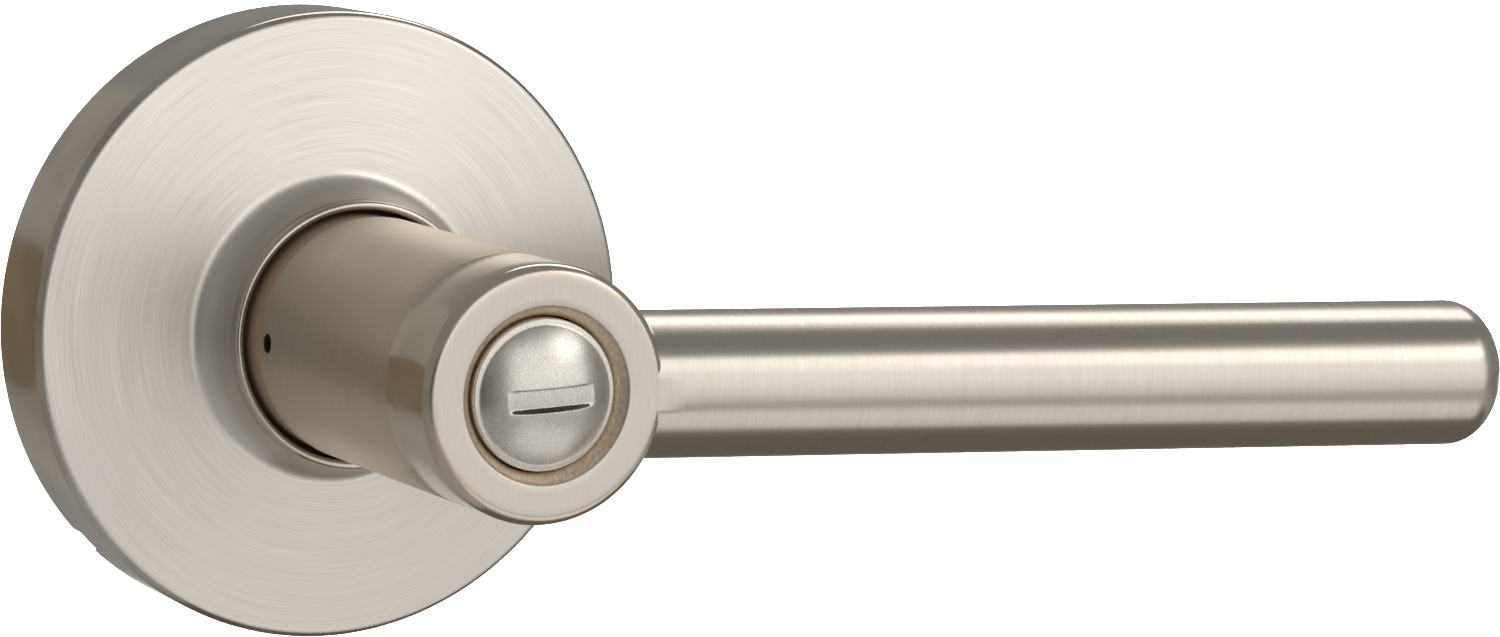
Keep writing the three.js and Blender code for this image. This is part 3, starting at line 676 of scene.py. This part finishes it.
def make_button():
    """Blasted button: a dome with a coined slot, and a skirt in the recess's material."""
    outline = button_outline()
    bands = [
        (outline, ON_TOP),
        (line(outline[-1], (BUTTON_RADIUS, BUTTON_SKIRT), 3), ON_SKIRT),
        (line((BUTTON_RADIUS, BUTTON_SKIRT), (BUTTON_HOLLOW, BUTTON_SKIRT), 1), ON_SKIRT),
        (line((BUTTON_HOLLOW, BUTTON_SKIRT), (BUTTON_HOLLOW, BUTTON_BACK), 1), ON_SKIRT),
        ([(0.0, BUTTON_BACK)], ON_SKIRT),
    ]
    button = revolve("button_cap", bands, BUTTON_MATERIALS, Y_AXIS, BUTTON_AROUND, BUTTON_SHARP)
    for vertex in button.data.vertices:
        x, y, z = vertex.co / MM
        if y < BUTTON_CROWN + DOME_REACH:
            vertex.co.y += slot_depth(x, z, y) * MM
    reach_across, reach_up, upward = 5.2, 2.0, 0.26   # the shade's box round the slot, and its faces' slope
    for face in button.data.polygons:
        x, y, z = face.center / MM
        near_slot = abs(x) < reach_across and abs(z) < reach_up and y < BUTTON_CROWN + DOME_REACH
        if near_slot and face.normal.z > upward:
            face.material_index = IN_SLOT
    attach(button, "button")
    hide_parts("button_head")


HIDDEN_PARTS = {
    PLATED: ("mounting_plate", "spring_cage", "mounting_screw_left", "mounting_screw_right",
             "cage_rivet_bottom", "cage_rivet_top", "drive_tube", "spring_driver", "thrust_washer",
             "spindle", "lever_catch", "button_stem", "turn_bar"),
    SPRING: ("return_spring", "rose_clip_1", "rose_clip_2", "rose_clip_3", "retaining_ring",
             "catch_spring", "stem_clip", "button_spring"),
    ZINC: ("spindle_plug",),
    BLACK_NYLON: ("collar_bushing",),
    WHITE_NYLON: ("bearing_sleeve", "stem_guide", "spring_seat"),
}


def dress_hidden_parts():
    for material, names in HIDDEN_PARTS.items():
        for name in names:
            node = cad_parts[name]
            for slot in node.material_slots:
                slot.material = material


# ---------------------------------------------------------- stage and camera

def aim(thing, place, target):
    thing.location = place
    thing.rotation_euler = (Vector(target) - Vector(place)).to_track_quat("-Z", "Y").to_euler()


WARM_WHITE = (1.0, 0.97, 0.93)
WORLD_COLOR = (0.285, 0.275, 0.255, 1.0)


def softbox(name, place, target, width, height, radiance):
    """A rectangular light given by the brightness that a mirror would show."""
    data = bpy.data.lights.new(name, "AREA")
    data.shape = "RECTANGLE"
    data.size, data.size_y = width, height
    data.energy = radiance * math.pi * width * height
    data.color = WARM_WHITE
    lamp = bpy.data.objects.new(name, data)
    lamp.visible_camera = False
    bpy.context.scene.collection.objects.link(lamp)
    aim(lamp, place, target)
    return lamp


FLOOR_HEIGHT = -0.5
MATT = 0.9            # roughness of the floor and the cards


def make_floor():
    mesh_data = bmesh.new()
    bmesh.ops.create_grid(mesh_data, x_segments=2, y_segments=2, size=9.0)
    nodes = Nodes("pale_floor")
    tone = nodes.object_noise(3.0)
    color = nodes.mix_color(tone, (0.80, 0.80, 0.80, 1), (0.84, 0.84, 0.84, 1))
    floor = finish_mesh("floor", mesh_data, [nodes.surface(color, MATT, 0.0, None)], FLAT_SHARP)
    floor.location.z = FLOOR_HEIGHT


def from_object(azimuth, elevation, distance):
    """A place seen from the object: azimuth from straight out of the door towards +X, in degrees."""
    a, e = math.radians(azimuth), math.radians(elevation)
    return Vector((math.sin(a) * math.cos(e), -math.cos(a) * math.cos(e), math.sin(e))) * distance


def make_front_card():
    """A tall glowing card in front of the object, hidden from the camera and mirrored by the metal.

    Its glow is brightest above the object's height and fades towards its foot and its top.
    """
    low, high, half_width, distance = FLOOR_HEIGHT + 0.01, 1.3, 1.15, 1.5
    azimuth = 22
    foot, bright_from, bright_to, top = -0.5, -0.1, 0.1, 0.5   # from the card's middle, in card heights
    foot_glow, full_glow, top_share = 0.85, 1.35, 0.85
    mesh_data = bmesh.new()
    bmesh.ops.create_grid(mesh_data, x_segments=2, y_segments=2, size=0.5)
    nodes = Nodes("front_card_glow")
    height = nodes.math("MULTIPLY", nodes.position()[1], MM)
    rise = nodes.remap(height, foot, bright_from, foot_glow, full_glow)
    fall = nodes.remap(height, bright_to, top, 1.0, top_share)
    glow = nodes.glow((1.0, 0.975, 0.94, 1), nodes.math("MULTIPLY", rise, fall))
    card = finish_mesh("front_card", mesh_data, [glow], FLAT_SHARP)
    card.scale = (2 * half_width, high - low, 1.0)
    middle = (low + high) / 2
    place = from_object(azimuth, 0, distance) + Vector((0.0, 0.0, middle))
    aim(card, place, (0.0, 0.0, middle))
    card.visible_camera = False


def make_lights():
    center = (0.0, -0.04, 0.0)
    softbox("key_box", from_object(azimuth=48, elevation=31, distance=1.3), center,
            width=0.7, height=0.44, radiance=1.1)
    softbox("low_front_box", from_object(azimuth=28, elevation=-42, distance=0.62), center,
            width=0.6, height=0.3, radiance=0.5)
    softbox("top_back_strip", from_object(azimuth=136, elevation=52, distance=1.2), center,
            width=0.9, height=0.42, radiance=2.1)
    across, behind, above, spread = 1.8, 4.0, 1.1, 60
    floor_light = softbox("floor_light", (across, behind, above), (across, behind, FLOOR_HEIGHT),
                          width=3.0, height=3.2, radiance=5.0)
    floor_light.data.spread = math.radians(spread)
    world = bpy.data.worlds.new("studio")
    bpy.context.scene.world = world
    world.use_nodes = True
    background = world.node_tree.nodes["Background"]
    background.inputs["Color"].default_value = WORLD_COLOR
    background.inputs["Strength"].default_value = 1.0


def matt_card(name, place, target, dark, light, width, height):
    """A flat matt studio card that faces a target and is hidden from the camera."""
    mesh_data = bmesh.new()
    bmesh.ops.create_grid(mesh_data, x_segments=2, y_segments=2, size=0.5)
    nodes = Nodes(name)
    tone = nodes.object_noise(6.0)
    color = nodes.mix_color(tone, dark, light)
    sheet = finish_mesh(name, mesh_data, [nodes.surface(color, MATT, 0.0, None)], FLAT_SHARP)
    sheet.scale = (width, height, 1.0)
    aim(sheet, place, target)
    sheet.visible_camera = False


def make_cards():
    """Cards that the metal mirrors as olive, brown, dark and grey bands. The panes are the grey ones."""
    olive = ((0.34, 0.285, 0.19, 1), (0.40, 0.335, 0.23, 1))
    brown = ((0.30, 0.265, 0.22, 1), (0.35, 0.31, 0.26, 1))
    dark = ((0.05, 0.045, 0.04, 1), (0.07, 0.065, 0.055, 1))
    grey = ((0.62, 0.60, 0.56, 1), (0.68, 0.66, 0.62, 1))
    center = (0.0, 0.0, 0.0)
    left, behind = -0.25, 0.52            # of the three cards that stand one above the other
    olive_height, upper_height, lower_height = -0.055, 0.155, -0.265
    low_right, low_behind, above_floor = 0.45, 0.28, 0.02    # the low card lies flat and faces up
    matt_card("olive_card", (left, behind, olive_height), center, *olive, width=0.5, height=0.2)
    matt_card("upper_pane", (left, behind, upper_height), center, *grey, width=0.46, height=0.22)
    matt_card("lower_pane", (left, behind, lower_height), center, *grey, width=0.46, height=0.22)
    matt_card("left_card", from_object(azimuth=-38, elevation=-2, distance=0.9), center, *dark,
              width=0.18, height=0.5)
    matt_card("low_card", (low_right, low_behind, FLOOR_HEIGHT + above_floor), (low_right, low_behind, 1.0),
              *brown, width=0.95, height=1.0)


CAMERA_PLACE = Vector((-0.485227, -1.107371, 0.148988))
CAMERA_AZIMUTH, CAMERA_ELEVATION, CAMERA_ROLL = 25.968, 6.957, 2.669
CAMERA_LENS, SENSOR = 277.358, 36.0


def make_camera():
    data = bpy.data.cameras.new("camera")
    data.lens = CAMERA_LENS
    data.sensor_width = SENSOR
    data.clip_end = 50.0
    camera = bpy.data.objects.new("camera", data)
    bpy.context.scene.collection.objects.link(camera)
    bpy.context.scene.camera = camera
    azimuth, elevation, roll = (math.radians(a) for a in (CAMERA_AZIMUTH, CAMERA_ELEVATION, CAMERA_ROLL))
    look = Vector((math.sin(azimuth) * math.cos(elevation), math.cos(azimuth) * math.cos(elevation),
                   -math.sin(elevation)))
    level = Vector((math.cos(azimuth), -math.sin(azimuth), 0.0))
    upright = level.cross(look)
    right = math.cos(roll) * level + math.sin(roll) * upright
    up = -math.sin(roll) * level + math.cos(roll) * upright
    axes = Matrix((right, up, -look)).transposed()
    camera.matrix_world = Matrix.Translation(CAMERA_PLACE) @ axes.to_4x4()


make_camera()
make_floor()
make_front_card()
make_lights()
make_cards()
make_rose()
make_lever()
make_button()
dress_hidden_parts()
bpy.context.scene.view_settings.view_transform = "Standard"
